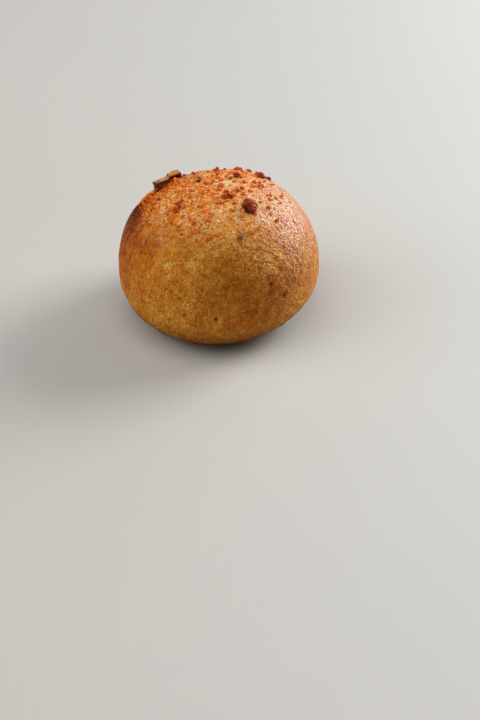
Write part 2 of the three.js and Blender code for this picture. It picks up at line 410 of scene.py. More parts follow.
def corners_and_faces(shape):
    """Corners and faces of a mesh that was built up, which is then freed."""
    shape.verts.index_update()
    corners = np.array([corner.co for corner in shape.verts])
    faces = np.array([[corner.index for corner in face.verts] for face in shape.faces])
    shape.free()
    return corners, faces


def ball(splits):
    """Corners and triangles of a unit icosphere."""
    shape = bmesh.new()
    bmesh.ops.create_icosphere(shape, subdivisions=splits, radius=1)
    return corners_and_faces(shape)


def crowd_to_crown(directions):
    """Directions drawn towards the crown, so that the mesh is finest where the topping lies."""
    crowding = 0.3
    lean = np.arccos(np.clip(directions[:, 2], -1, 1))
    bearing = np.arctan2(directions[:, 1], directions[:, 0])
    return facing(np.degrees(bearing), np.degrees(lean - crowding * np.sin(lean)))


def quad_ball(steps):
    """Directions and four-sided faces of a ball made of six evenly divided fields."""
    shape = bmesh.new()
    bmesh.ops.create_cube(shape, size=2)
    bmesh.ops.subdivide_edges(shape, edges=shape.edges[:], cuts=steps - 1, use_grid_fill=True)
    corners, faces = corners_and_faces(shape)
    return crowd_to_crown(unit(np.tan(corners * np.pi / 4))), faces


def add_object(name, data):
    """Adds an object with its data to the scene."""
    made = bpy.data.objects.new(name, data)
    bpy.context.scene.collection.objects.link(made)
    return made


def add_piece(name, corners, faces, material, slot, *replaced):
    """Makes a smooth mesh object that belongs to the bun and stands for CAD nodes."""
    mesh = bpy.data.meshes.new(name)
    mesh.from_pydata(corners.tolist(), [], faces.tolist())
    mesh.shade_smooth()
    mesh.materials.append(material)
    piece = add_object(name, mesh)
    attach(piece, BODY)
    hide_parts(*replaced)
    return piece


def paint(piece, name, *channels):
    """Stores a layer of up to three channels for the corners of a piece."""
    values = np.ones((len(piece.data.vertices), 4), dtype=np.float32)
    values[:, : len(channels)] = np.stack(channels, axis=-1)
    layer = piece.data.color_attributes.new(name, "FLOAT_COLOR", "POINT")
    layer.data.foreach_set("color", values.ravel())


# Materials


class Shading:
    """Builds one material's nodes and joins them."""

    def __init__(self, name):
        self.material = bpy.data.materials.new(name)
        self.material.use_nodes = True
        self.tree = self.material.node_tree
        self.surface = self.tree.nodes["Principled BSDF"]
        self.place = self.node("ShaderNodeTexCoord").outputs["Object"]

    def feed(self, socket, value):
        """Joins another node's output to a socket, or sets the socket to a value."""
        if isinstance(value, bpy.types.NodeSocket):
            self.tree.links.new(value, socket)
        else:
            socket.default_value = value

    def node(self, kind, inputs=None, **settings):
        """A node with its settings and inputs, which are values or other nodes' outputs."""
        made = self.tree.nodes.new(kind)
        for key, value in settings.items():
            setattr(made, key, value)
        for key, value in (inputs or {}).items():
            self.feed(made.inputs[key], value)
        return made

    def set(self, **inputs):
        """Sets or joins inputs of the surface shader, named with underscores."""
        for key, value in inputs.items():
            self.feed(self.surface.inputs[key.replace("_", " ")], value)

    def layer(self, name):
        """Colour of a painted layer."""
        return self.node("ShaderNodeAttribute", attribute_name=name).outputs["Color"]

    def channels(self, name):
        """Red, green and blue of a painted layer."""
        parts = self.node("ShaderNodeSeparateColor", {"Color": self.layer(name)}).outputs
        return parts["Red"], parts["Green"], parts["Blue"]

    def noise(self, size, detail, roughness, place=None):
        """Noise from 0 to 1 with features of a size in metres."""
        inputs = {"Vector": place or self.place, "Scale": 1 / size, "Detail": detail, "Roughness": roughness}
        return self.node("ShaderNodeTexNoise", inputs).outputs["Fac"]

    def strong_noise(self, size, detail, roughness, place=None):
        """Noise whose middle range fills the whole of 0 to 1."""
        return self.spread(self.noise(size, detail, roughness, place), 0.32, 0.68)

    def cells(self, size):
        """Distance from the middle of each cell of a pattern, and a draw from 0 to 1 for each cell."""
        made = self.node("ShaderNodeTexVoronoi", {"Vector": self.place, "Scale": 1 / size})
        draw = self.node("ShaderNodeSeparateColor", {"Color": made.outputs["Color"]}).outputs["Red"]
        return made.outputs["Distance"], draw

    def spots(self, cells, chosen, edge):
        """Soft spots in the cells whose draw is past a range, fading over a range of distances."""
        distance, draw = cells
        return self.times(self.spread(draw, *chosen), self.spread(distance, *edge))

    def math(self, operation, first, second):
        """Result of a calculation with two values."""
        return self.node("ShaderNodeMath", {0: first, 1: second}, operation=operation).outputs["Value"]

    def times(self, first, second):
        """Product of two values."""
        return self.math("MULTIPLY", first, second)

    def plus(self, first, second):
        """Sum of two values."""
        return self.math("ADD", first, second)

    def swing(self, pattern, weight):
        """Shift to both sides of 0 that follows a pattern from 0 to 1."""
        return self.times(self.math("SUBTRACT", pattern, 0.5), weight)

    def spread(self, value, low, high, to_low=0.0, to_high=1.0):
        """Maps a value from one range to another, kept within it."""
        inputs = {"Value": value, "From Min": low, "From Max": high, "To Min": to_low, "To Max": to_high}
        return self.node("ShaderNodeMapRange", inputs).outputs["Result"]

    def ramp(self, value, *stops):
        """Colours along a value, from (position, colour) stops."""
        made = self.node("ShaderNodeValToRGB", {"Fac": value})
        marks = made.color_ramp.elements
        while len(marks) < len(stops):
            marks.new(1.0)
        for mark, (position, colour) in zip(marks, stops):
            mark.position = position
            mark.color = (*colour, 1.0)
        return made.outputs["Color"]

    def blend(self, share, first, second, mode="MIX"):
        """Second colour over first by a share."""
        made = self.node("ShaderNodeMix", data_type="RGBA", blend_type=mode)
        # The mix node keeps sockets for every kind of data, and these are the ones for colours.
        share_socket, first_socket, second_socket = (made.inputs[index] for index in (0, 6, 7))
        self.feed(share_socket, share)
        for socket, colour in ((first_socket, first), (second_socket, second)):
            self.feed(socket, colour if isinstance(colour, bpy.types.NodeSocket) else (*colour, 1.0))
        return made.outputs[2]

    def bump(self, height, depth, below=None):
        """Bump of a depth in metres, over another bump."""
        inputs = {"Height": height, "Distance": depth, "Strength": 1.0}
        if below is not None:
            inputs["Normal"] = below
        return self.node("ShaderNodeBump", inputs).outputs["Normal"]


def crust_material(crust, crumbs):
    """Grainy golden crust, browned and glazed as painted on it, with a crumbly coat at the crown, painted
    shade and painted highlights.
    """
    shading = Shading("baked_crust")
    # The painted layers carry browning, topping, glaze, bare places, rough crags and toasting, with painted
    # shade in the pits, on the front and towards the base, and painted highlights along the ridge.
    browning, hollow, topping = shading.channels("baking_and_pit_shade")
    glaze, bare, painted_shade = shading.channels("finish_and_painted_shade")
    rough, ridge, toasted = shading.channels("skin")
    stretched = shading.layer("stretch")
    mottle = shading.strong_noise(0.0060, 3.0, 0.55)
    clouds = shading.strong_noise(0.0026, 2.0, 0.5)
    grain = shading.strong_noise(0.0010, 2.0, 0.6)
    flour = shading.strong_noise(0.0006, 1.0, 0.5)
    streaks = shading.strong_noise(0.0016, 2.0, 0.6, stretched)
    # Pattern of the painted highlight flecks, drawn out downhill.
    painted_glints = shading.spread(shading.noise(0.0007, 1.0, 0.5, stretched), 0.50, 0.62)
    blister_distance, blister_draw = shading.cells(0.0023)
    granule_distance, granule_draw = shading.cells(0.0012)

    # Baked skin
    tone = browning
    for pattern, weight in ((mottle, 0.12), (clouds, 0.20), (grain, 0.20), (streaks, 0.12), (flour, -0.23)):
        tone = shading.plus(tone, shading.swing(pattern, weight))
    colour = shading.ramp(
        tone,
        (0.04, crust.pale),
        (0.30, crust.golden),
        (0.54, crust.amber),
        (0.78, crust.russet),
        (1.0, crust.char),
    )
    colour = shading.blend(shading.spread(grain, 0.45, 0.0, 0.0, 0.7), colour, crust.umber)
    # Painted shade: the crust is multiplied by a grey-brown on the shade patches and towards the base.
    painted_shade_colour = (0.48, 0.47, 0.42)
    colour = shading.blend(painted_shade, colour, painted_shade_colour, "MULTIPLY")

    # Blisters, specks and painted highlights: pale flecks along the ridge, on the rough crags and in tiny
    # sparkles
    blister = shading.times(shading.spots((blister_distance, blister_draw), (0.3, 0.7), (0.5, 0.2)), rough)
    painted_sparkle = shading.spots(shading.cells(0.0011), (0.89, 0.93), (0.4, 0.2))
    freckle = shading.spots(shading.cells(0.0042), (0.5, 0.7), (0.4, 0.1))
    speck = shading.spots(shading.cells(0.0027), (0.76, 0.84), (0.2, 0.1))
    for pattern, strength, over in (
        (blister, 0.55, crumbs.orange),
        (shading.times(painted_glints, ridge), 0.65, crust.pale),
        (shading.times(painted_glints, rough), 0.22, crust.pale),
        (painted_sparkle, 0.2, crumbs.cream),
        (freckle, 0.4, crust.umber),
        (speck, 0.7, crust.russet),
    ):
        colour = shading.blend(shading.times(pattern, strength), colour, over)

    # Crumbly coat, bare places and painted shade in the pits
    coat_tone = shading.plus(shading.times(granule_draw, 0.7), shading.times(mottle, 0.3))
    coat_tone = shading.math("SUBTRACT", coat_tone, shading.spread(toasted, 0.0, 1.0, -0.8, 0.8))
    coat_colour = shading.ramp(
        coat_tone,
        (0.12, crumbs.rust),
        (0.26, crumbs.orange),
        (0.50, crumbs.golden),
        (0.80, crumbs.cream),
    )
    coat_share = shading.times(topping, shading.spread(grain, 0.0, 0.7, 0.4, 0.9))
    coat_share = shading.times(coat_share, shading.spread(browning, 0.68, 0.46))
    colour = shading.blend(coat_share, colour, coat_colour)
    colour = shading.blend(shading.times(bare, 0.65), colour, crumbs.cream)
    # Painted shade in the pits: their floors are darkened towards russet and char.
    pit_shade_colour = shading.ramp(hollow, (0.0, crust.russet), (0.84, crust.russet), (0.98, crust.char))
    colour = shading.blend(shading.times(hollow, 0.82), colour, pit_shade_colour)

    # Gloss and fine relief
    roughness = shading.spread(grain, 0.0, 1.0, 0.62, 0.80)
    gloss = shading.times(glaze, shading.spread(flour, 0.2, 0.7, 0.2, 1.0))
    gloss = shading.times(gloss, shading.spread(blister, 0.0, 0.8, 1.0, 0.25))
    gloss = shading.times(gloss, shading.spread(hollow, 0.0, 0.5, 1.0, 0.0))
    relief = None
    for pattern, depth in (
        (shading.spread(granule_distance, 0.0, 0.6), 0.00014),
        (shading.times(blister_distance, rough), 0.0006),
        (streaks, 0.00008),
        (grain, 0.00020),
        (flour, 0.00021),
        (shading.times(flour, rough), 0.00007),
    ):
        relief = shading.bump(pattern, depth, relief)
    shading.set(
        Base_Color=colour,
        Roughness=shading.plus(roughness, shading.times(hollow, 0.3)),
        Specular_IOR_Level=0.10,
        Coat_Weight=gloss,
        Coat_Roughness=0.40,
        Normal=relief,
        Coat_Normal=relief,
    )
    return shading.material


def crumb_material(name, gloss):
    """Toasted crumb in the colour painted on it, with painted shade in its hollows, painted light on its tops
    and a rough surface.
    """
    shading = Shading(name)
    mottle = shading.noise(0.0006, 2.0, 0.6)
    painted_shade_and_light = shading.ramp(
        mottle,
        (0.3, (0.55, 0.45, 0.40)),
        (0.5, (1.0, 1.0, 1.0)),
        (0.75, (1.25, 1.25, 1.2)),
    )
    shading.set(
        Base_Color=shading.blend(1.0, shading.layer("tint"), painted_shade_and_light, "MULTIPLY"),
        Roughness=shading.spread(mottle, 0.3, 0.7, 0.8, 0.5),
        Specular_IOR_Level=gloss,
        Normal=shading.bump(mottle, 0.0002),
    )
    return shading.material


def petal_material(petal):
    """Fried onion: tan fibres, browned in streaks, burnt and rust-red where the painted layer says so, and
    darker inside the curl with painted shade.
    """
    shading = Shading("fried_onion")
    burn_and_shade, fibre, rusty = shading.channels("frying_and_shade")
    mottle = shading.noise(0.0016, 3.0, 0.6)
    tone = shading.plus(burn_and_shade, shading.swing(mottle, 0.5))
    tone = shading.plus(tone, shading.times(fibre, 0.10))
    colour = shading.ramp(tone, (0.1, petal.tan), (0.5, petal.brown), (0.85, petal.char))
    shading.set(
        Base_Color=shading.blend(shading.times(rusty, 0.75), colour, petal.rust),
        Roughness=shading.spread(mottle, 0.3, 0.7, 0.5, 0.7),
        Specular_IOR_Level=0.25,
        Normal=shading.bump(mottle, 0.0003),
    )
    return shading.material


def floor_material(stage):
    """Plain pale floor with a faint unevenness."""
    shading = Shading("pale_floor")
    cloud = shading.noise(0.05, 2.0, 0.5)
    brightening = 1.03
    lighter = tuple(min(1.0, brightening * channel) for channel in stage.floor_colour)
    shading.set(Base_Color=shading.blend(cloud, tuple(stage.floor_colour), lighter), Roughness=0.7)
    return shading.material


# Crust


def patch_weight(directions, patches):
    """Sum of patches in each direction."""
    return sum(patch.share * closeness(directions, patch, patch.spread) for patch in patches)


def topping_weight(directions):
    """How thickly the topping covers the crust in each direction, from 0 to 1."""
    ragged = 0.25 * bumps(directions, size=0.25, seed=9) + 0.2 * bumps(directions, size=0.09, seed=10)
    cover = 1.3 * patch_weight(directions, TOPPED_PATCHES) - 0.3 + ragged
    bare = np.clip(patch_weight(directions, BARE_PATCHES), 0, 1)
    return np.clip(cover, 0, 1) * (1 - bare * 0.9)


def pore_pits(count, seed):
    """Small pores spread evenly over the sides of the bun."""
    draw = np.random.default_rng(seed)
    lowest = np.cos(np.radians(112))
    highest = np.cos(np.radians(32))
    bearings = draw.uniform(0, 360, count)
    leans = np.degrees(np.arccos(draw.uniform(lowest, highest, count)))
    widths = draw.uniform(0.45, 0.95, count)
    depths = widths * draw.uniform(0.25, 0.5, count)
    return list(map(Pit, bearings, leans, widths, depths))


def ridge_pits(count, seed):
    """Shallow hollows beside the ridge of the skin."""
    draw = np.random.default_rng(seed)
    ridge_bearings, leans = along_line(SKIN_RIDGE, draw.uniform(0, len(SKIN_RIDGE) - 1, count))
    bearings = ridge_bearings + draw.uniform(-1, 14, count)
    widths = draw.uniform(1.3, 2.6, count)
    depths = draw.uniform(0.1, 0.28, count)
    return list(map(Pit, bearings, leans, widths, depths))


def sink_pits(directions, pits, radius):
    """Depth of all pits in each direction, and how much painted shade darkens their floors."""
    full_shade_depth = 0.5
    full_shade_width = 2.9
    spreads_reached = 4
    depth = np.zeros(len(directions))
    dark = np.zeros(len(directions))
    for pit in pits:
        spread = np.degrees(pit.width * MM / 2 / radius)
        near = directions @ facing(pit.bearing, pit.lean) > np.cos(np.radians(spreads_reached * spread))
        weight = closeness(directions[near], pit, spread)
        depth[near] += pit.depth * MM * weight
        # Painted shade: deeper and narrower pits get darker floors.
        darkest = min(1.0, pit.depth / full_shade_depth, full_shade_width / pit.width)
        dark[near] = np.maximum(dark[near], np.minimum(1, 1.5 * weight) * darkest)
    return depth, dark


def crust_browning(directions, points):
    """How browned the crust is in each direction, from 0 to 1."""
    base_band = 0.010
    darkest = 0.84
    # Browner near the base: partly the bottom's own baking, partly painted shade where the bun meets the
    # floor.
    near_base = np.clip((base_band - points[:, 2]) / base_band, 0, 1)
    near_crown = np.clip(directions[:, 2], 0, 1)
    patches = patch_weight(directions, BROWNED_PATCHES) * (1 + 0.6 * bumps(points, size=0.003, seed=12))
    clouds = 0.07 * bumps(points, size=0.011, seed=4)
    return np.minimum(0.36 + 0.31 * near_base + 0.06 * near_crown + patches + clouds, darkest)


def stretch_places(directions, crust):
    """Points for noise that is drawn out downhill, as rising dough stretches its skin."""
    drawn_out = 0.45
    around = unit(directions[:, :2]) * crust.width / 2
    lean = np.arccos(np.clip(directions[:, 2], -1, 1))
    downhill = drawn_out * lean * crust.width / 2
    return np.column_stack([around, downhill])


def crust_relief(directions, smooth, stretch, topping, rough):
    """Height of the crust's unevenness over the smooth dough, in millimetres."""
    ragged_band = 0.016
    near_base = np.clip(1 - smooth[:, 2] / ragged_band, 0, 1)
    swells = 0.28 * bumps(smooth, size=0.0095, seed=1)
    skin_ridge = 0.45 * line_weight(directions, SKIN_RIDGE, spread=4.0)
    crags = 0.36 * rough * granules(smooth, size=0.0019, seed=11)
    lumps = (0.09 + 0.80 * near_base) * bumps(smooth, size=0.0026, seed=2)
    grit = (0.07 + 0.2 * near_base) * bumps(smooth, size=0.0011, seed=3)
    stretch_lines = 0.06 * bumps(stretch, size=0.0022, seed=6)
    coat = 0.40 * topping * granules(smooth, size=0.0015, seed=5)
    return swells + skin_ridge + crags + lumps + grit + stretch_lines + coat


class BUN_OT_crust(bpy.types.Operator):
    """Bake the bread's crust"""

    bl_idname = "bun.crust"
    bl_label = "Crust"

    def execute(self, context):
        crust = context.scene.bun_crust
        directions, faces = quad_ball(crust.mesh_steps)
        smooth = crust_points(directions, crust)
        stretch = stretch_places(directions, crust)
        topping = topping_weight(directions)
        rough = np.clip(patch_weight(directions, ROUGH_PATCHES), 0, 1)
        relief = crust_relief(directions, smooth, stretch, topping, rough)
        pits = [*PITS, *pore_pits(crust.pore_count, seed=8), *ridge_pits(crust.ridge_pit_count, seed=14)]
        depth, dark = sink_pits(directions, pits, crust.width / 2)
        corners = smooth + directions * (relief * MM - depth)[:, None]
        corners[:, 2] = softly_above(corners[:, 2], crust.base_softness)
        material = crust_material(crust, context.scene.bun_crumbs)
        piece = add_piece("crust", corners, faces, material, "crust", "bun")
        # The pits' painted shade is stored with the browning and the topping.
        paint(piece, "baking_and_pit_shade", crust_browning(directions, smooth), dark, topping)
        glaze = patch_weight(directions, GLAZED_PATCHES)
        bare = patch_weight(directions, BARE_PATCHES)
        # Painted shade that grows towards the base, from 17 mm down to 6 mm, added to the shade patches.
        underside_shade = smooth_step(smooth[:, 2], start=0.017, end=0.006)
        painted_shade = np.clip(patch_weight(directions, PAINTED_SHADE_PATCHES) + underside_shade, 0, 1)
        paint(piece, "finish_and_painted_shade", glaze, bare, painted_shade)
        # Painted highlights along the upper part of the skin's ridge.
        painted_ridge_highlight = line_weight(directions, SKIN_RIDGE[:4], spread=5.0)
        toasted = np.clip(0.5 + patch_weight(directions, TOASTED_PATCHES), 0, 1)
        paint(piece, "skin", rough, painted_ridge_highlight, toasted)
        paint(piece, "stretch", *stretch.T)
        return {"FINISHED"}


# Topping


def join_grains(shapes, faces):
    """One mesh of many copies of a ball, each with its own corners."""
    step = shapes.shape[1]
    offsets = np.arange(len(shapes))[:, None, None] * step
    return shapes.reshape(-1, 3), (faces[None] + offsets).reshape(-1, faces.shape[1])


def toast_colour(toast, stops):
    """Colours along the toasting, from evenly spaced stops."""
    steps = np.linspace(0, 1, len(stops))
    return [np.interp(toast, steps, channel) for channel in np.transpose(stops)]


def lobed(corners, count, draw):
    """Factors that turn a unit ball into each of many knobbly grains with a few lobes."""
    lobe_count = 5
    hollow_reach = 0.62
    lobe_reach = 0.5
    lobes = unit(draw.normal(0, 1, (count, lobe_count, 3)))
    nearest = np.max(np.einsum("ci,gki->gck", corners, lobes), axis=-1)
    roughness = draw.uniform(-0.1, 0.1, nearest.shape)
    return (hollow_reach + lobe_reach * nearest + roughness)[..., None]


def add_grains(context, name, shapes, faces, toast, gloss):
    """Makes one piece of many grains, each with its own corners and toasting."""
    crumbs = context.scene.bun_crumbs
    stops = [crumbs.cream, crumbs.golden, crumbs.orange, crumbs.rust, crumbs.char]
    joined, joined_faces = join_grains(shapes, faces)
    piece = add_piece(name, joined, joined_faces, crumb_material("toasted_" + name, gloss), "crust", "bun")
    piece.data.shade_flat()
    paint(piece, "tint", *toast_colour(np.repeat(toast, shapes.shape[1]), stops))


def nugget_grains(nugget, draw):
    """Middles and half sizes, in millimetres, and toasting of a nugget's core and of the grains on it."""
    core_share = 0.82
    grain_share = 0.88
    grain_size = 0.115
    grains_per_area = 2.4
    grained_height = 1.45
    half = np.array((nugget.length, nugget.width, nugget.height)) / 2
    count = int(np.clip(grains_per_area * nugget.length * nugget.width, 10, 72))
    spiral = np.arange(count) + draw.uniform(-0.3, 0.3, count)
    leans = np.degrees(np.arccos(1 - grained_height * (spiral + 0.5) / count))
    outward = facing(GOLDEN_ANGLE * spiral, leans)
    middles = np.concatenate([np.zeros((1, 3)), outward * half * grain_share])
    middles[:, 2] += 0.1 * nugget.height + 0.15
    sizes = grain_size * np.mean(2 * half) * draw.uniform(0.5, 2.0, (count, 1))
    halves = np.concatenate([core_share * half[None], sizes * draw.uniform(0.7, 1.2, (count, 3))])
    toast = nugget.toast + np.concatenate([[0.05], draw.normal(0, 0.10, count)])
    paler_grains = slice(1, None, 9)
    toast[paler_grains] -= 0.2
    return middles, halves, np.clip(toast, 0, 1)


class BUN_OT_nuggets(bpy.types.Operator):
    """Set the large toasted nuggets on the crown"""

    bl_idname = "bun.nuggets"
    bl_label = "Toasted nuggets"

    def execute(self, context):
        crust = context.scene.bun_crust
        corners, faces = ball(splits=2)
        draw = np.random.default_rng(seed=5)
        shapes = []
        toasts = []
        for nugget in NUGGETS:
            middles, halves, toast = nugget_grains(nugget, draw)
            knobs = lobed(corners, len(middles), draw)
            local = (corners[None] * knobs * halves[:, None] + middles[:, None]) * MM
            place, axes = crust_axes(nugget.bearing, nugget.lean, np.array(draw.uniform(0, 360)), crust)
            shapes.append(local @ axes + place)
            toasts.append(toast)
        shapes = np.concatenate(shapes)
        add_grains(context, "nuggets", shapes, faces, np.concatenate(toasts), NUGGET_GLOSS)
        return {"FINISHED"}


def seeded_draws(seed):
    """Repeatable draws between 0 and 1, the same that place the crumbs of the solid bun."""
    low_bits = 0xFFFFFFFF
    state = seed
    while True:
        state = (state + 0x6D2B79F5) & low_bits
        mixed = (state ^ (state >> 15)) * (1 | state) & low_bits
        mixed = (mixed + ((mixed ^ (mixed >> 7)) * (61 | mixed) & low_bits)) & low_bits ^ mixed
        yield ((mixed ^ (mixed >> 14)) & low_bits) / 2**32


def coarse_crumbs(crumbs):
    """Bearings, leans and sizes of the coarse crumbs, on a golden-angle spiral round the crown."""
    draw = seeded_draws(crumbs.coarse_seed)
    crown_length = 2.2
    rim_length = 1.4
    bearing_range = 20
    crowding = 0.62
    rows = []
    for index in range(crumbs.coarse_count):
        share_draw, bearing_draw, length_draw, width_draw, height_draw = islice(draw, 5)
        share = (index + share_draw) / crumbs.coarse_count
        bearing = index * GOLDEN_ANGLE + bearing_range * (bearing_draw - 0.5)
        lean = np.degrees(crumbs.reach) * share**crowding
        usual_length = crown_length + (rim_length - crown_length) * share
        length = usual_length * (0.8 + 0.3 * length_draw) * MM
        width = length * (0.6 + 0.35 * width_draw)
        height = length * (0.6 + 0.35 * height_draw)
        rows.append((bearing, lean, length, width, height))
    return np.array(rows)


def fine_crumbs(crumbs):
    """Bearings, leans and sizes of the fine crumbs, which lie where the topping is thick."""
    draw = np.random.default_rng(crumbs.fine_seed)
    tries = 12 * crumbs.fine_count
    farthest = np.radians(60)
    strays = 0.015
    bearing = draw.uniform(0, 360, tries)
    lean = np.degrees(np.arccos(draw.uniform(np.cos(farthest), 1, tries)))
    cover = topping_weight(facing(bearing, lean))
    kept = np.flatnonzero(draw.uniform(0, 1, tries) < cover**1.6 + strays)[: crumbs.fine_count]
    bearing, lean, cover = bearing[kept], lean[kept], cover[kept]
    count = len(kept)
    shaggy = patch_weight(facing(bearing, lean), SHAGGY_PATCHES)
    length = crumbs.fine_length[0] + np.ptp(crumbs.fine_length) * draw.uniform(0, 1, count) ** 2
    length = length * (0.55 + 0.45 * cover) * (1 + 0.9 * shaggy)
    width = length * draw.uniform(0.55, 0.95, count)
    height = length * draw.uniform(0.3, 0.6, count) * (1 + 0.8 * shaggy)
    return np.stack([bearing, lean, length, width, height], axis=-1)


def crumb_directions(rows):
    """Directions of crumbs, from rows of bearing, lean, length, width and height."""
    return facing(rows[:, 0], rows[:, 1])


def nearby_toast(rows, toast):
    """Toasting of crumbs, which is shifted by place and is black beside burnt nuggets."""
    burnt = 0.95
    burnt_spread = 1.8
    places = crumb_directions(rows)
    toast = toast + patch_weight(places, TOASTED_PATCHES)
    for nugget in NUGGETS:
        if nugget.toast > burnt:
            toast = toast + closeness(places, nugget, burnt_spread)
    return np.clip(toast, 0, 1)


def clear_of_petal(rows, petal, crust, clearing):
    """True for crumbs that lie outside the onion petal's strip."""
    place, axes = petal_axes(petal, crust)
    local = (crust_points(crumb_directions(rows), crust) - place) @ axes.T
    beyond_end = np.maximum(0, np.abs(local[:, 0]) - petal.length / 2)
    return np.hypot(beyond_end, local[:, 1]) > clearing + rows[:, 2] / 2


def clear_of_nuggets(rows, crust):
    """True for crumbs that lie outside the nuggets."""
    covered = 0.4
    places = crumb_directions(rows)
    clear = np.full(len(rows), True)
    for nugget in NUGGETS:
        half_size = (nugget.length + nugget.width) / 4 * MM
        clear &= closeness(places, nugget, np.degrees(half_size / (crust.width / 2))) < covered
    return clear


def add_crumbs(context, name, rows, splits, lift, toast, seed):
    """Makes one piece of crumbs from rows of bearing, lean, length, width and height."""
    crust = context.scene.bun_crust
    draw = np.random.default_rng(seed)
    corners, faces = ball(splits)
    local = corners[None] * lobed(corners, len(rows), draw) * rows[:, None, 2:5] / 2
    local[..., 2] += lift[:, None]
    place, axes = crust_axes(rows[:, 0], rows[:, 1], draw.uniform(0, 360, len(rows)), crust)
    shapes = np.einsum("gci,gij->gcj", local, axes) + place[:, None]
    add_grains(context, name, shapes, faces, nearby_toast(rows, toast), CRUMB_GLOSS)


def petal_crumbs(petal, crust, count, seed):
    """Bearings, leans, sizes and lifts of the crumbs that are heaped along the petal's open side."""
    draw = np.random.default_rng(seed)
    heap_height = 0.0025
    local = np.zeros((count, 3))
    local[:, 0] = petal.length * draw.uniform(-0.34, 0.40, count)
    local[:, 1] = -petal.arch_radius * draw.uniform(0.1, 1.6, count)
    place, axes = petal_axes(petal, crust)
    away = unit(local @ axes + place - np.array((0, 0, crust.girth_height)))
    bearing = np.degrees(np.arctan2(away[:, 1], away[:, 0]))
    lean = np.degrees(np.arccos(away[:, 2]))
    length = draw.uniform(0.0008, 0.0015, count)
    width = length * draw.uniform(0.6, 0.95, count)
    along = np.exp(-((local[:, 0] / petal.length - 0.12) / 0.17) ** 2)
    across = np.clip(1 - np.abs(local[:, 1] / petal.arch_radius + 0.7) / 0.9, 0, 1)
    heap = heap_height * along * across * draw.uniform(0, 1, count) ** 0.75
    return np.stack([bearing, lean, length, width, width], axis=-1), heap


class BUN_OT_coarse_crumbs(bpy.types.Operator):
    """Scatter the coarse crumbs"""

    bl_idname = "bun.coarse_crumbs"
    bl_label = "Coarse crumbs"

    def execute(self, context):
        petal = context.scene.bun_petal
        crust = context.scene.bun_crust
        darkest = 0.66
        draw = np.random.default_rng(seed=3)
        rows = coarse_crumbs(context.scene.bun_crumbs)
        rows = rows[clear_of_petal(rows, petal, crust, clearing=0.0038)]
        heap_rows, heap = petal_crumbs(petal, crust, count=90, seed=6)
        all_rows = np.concatenate([rows, heap_rows])
        lift = np.concatenate([0.1 * rows[:, 4], heap])
        coarse_toast = draw.normal(0.47, 0.18, len(rows))
        heap_toast = draw.normal(0.32, 0.10, len(heap))
        toast = np.minimum(np.concatenate([coarse_toast, heap_toast]), darkest)
        add_crumbs(context, "coarse_crumbs", all_rows, splits=3, lift=lift, toast=toast, seed=3)
        return {"FINISHED"}


class BUN_OT_fine_crumbs(bpy.types.Operator):
    """Scatter the pale and the toasted fine crumbs"""

    bl_idname = "bun.fine_crumbs"
    bl_label = "Fine crumbs"

    def execute(self, context):
        crust = context.scene.bun_crust
        pale_share = 0.52
        pale_toast = 0.13
        usual_toast = 0.46
        draw = np.random.default_rng(seed=4)
        rows = fine_crumbs(context.scene.bun_crumbs)
        rows = rows[clear_of_petal(rows, context.scene.bun_petal, crust, clearing=0.0018)]
        rows = rows[clear_of_nuggets(rows, crust)]
        places = crumb_directions(rows)
        pale = draw.uniform(0, 1, len(rows)) < pale_share
        browned = 0.9 * np.clip(patch_weight(places, BROWNED_PATCHES), 0, 1)
        for name, kind, middle in (("pale_crumbs", pale, pale_toast), ("toasted_crumbs", ~pale, usual_toast)):
            toast = draw.normal(middle, 0.11, np.count_nonzero(kind)) + browned[kind]
            lift = -0.1 * rows[kind, 4]
            add_crumbs(context, name, rows[kind], splits=2, lift=lift, toast=toast, seed=4)
        return {"FINISHED"}


# Onion petal


def petal_axes(petal, crust):
    """Place and axes of the onion petal on the crust."""
    bearing, lean, heading = np.degrees((petal.bearing, petal.lean, petal.heading))
    return crust_axes(bearing, lean, np.array(heading), crust)


def bend_petal(along, around, depth, petal):
    """Points of the petal: along its length, around its curl from lip to foot, and through its flesh."""
    lip_angle = 40
    foot_angle = 215
    angle = np.radians(lip_angle + (foot_angle - lip_angle) * around)
    fold = smooth_step(along, 0.46, 0.55)
    droop = 0.5 * smooth_step(along, 0.75, 1.0)
    slant = 2.0 * MM * (1 - around) * smooth_step(along, 0.5, 1.0)
    ripple = 0.35 * np.sin(2 * np.pi * 1.25 * along) * np.cos(np.pi * around)
    ragged = 0.35 * MM * np.sin(3 * angle) * np.abs(2 * along - 1)
    radius = petal.arch_radius + (0.35 * fold - droop + ripple) * MM + petal.thickness * depth
    height = petal.arch_height + 0.55 * MM * fold + radius * np.sin(angle)
    reach = petal.length * (along - 0.5) - slant + ragged
    return np.stack([reach, -radius * np.cos(angle), height], axis=-1)


def closed_sheet(outer, inner):
    """Corners and faces of a sheet with an outer side, an inner side and a rim, from two grids of points."""
    rows, columns = outer.shape[:2]
    index = np.arange(2 * rows * columns).reshape(2, rows, columns)
    faces = []
    for grid, order in ((index[0], (0, 1, 2, 3)), (index[1], (3, 2, 1, 0))):
        quads = np.stack([grid[:-1, :-1], grid[1:, :-1], grid[1:, 1:], grid[:-1, 1:]], axis=-1)
        faces.append(quads.reshape(-1, 4)[:, order])
    top = index[0]
    rim = np.concatenate([top[0, :], top[1:, -1], top[-1, -2::-1], top[-2:0:-1, 0]])
    following = np.roll(rim, -1)
    below = rows * columns
    faces.append(np.stack([rim, following, following + below, rim + below], axis=-1))
    return np.concatenate([outer.reshape(-1, 3), inner.reshape(-1, 3)]), np.concatenate(faces)


def both_sides(outer, inner):
    """One list of values for the corners of a sheet's outer and inner side."""
    return np.concatenate([outer.ravel(), inner.ravel()])


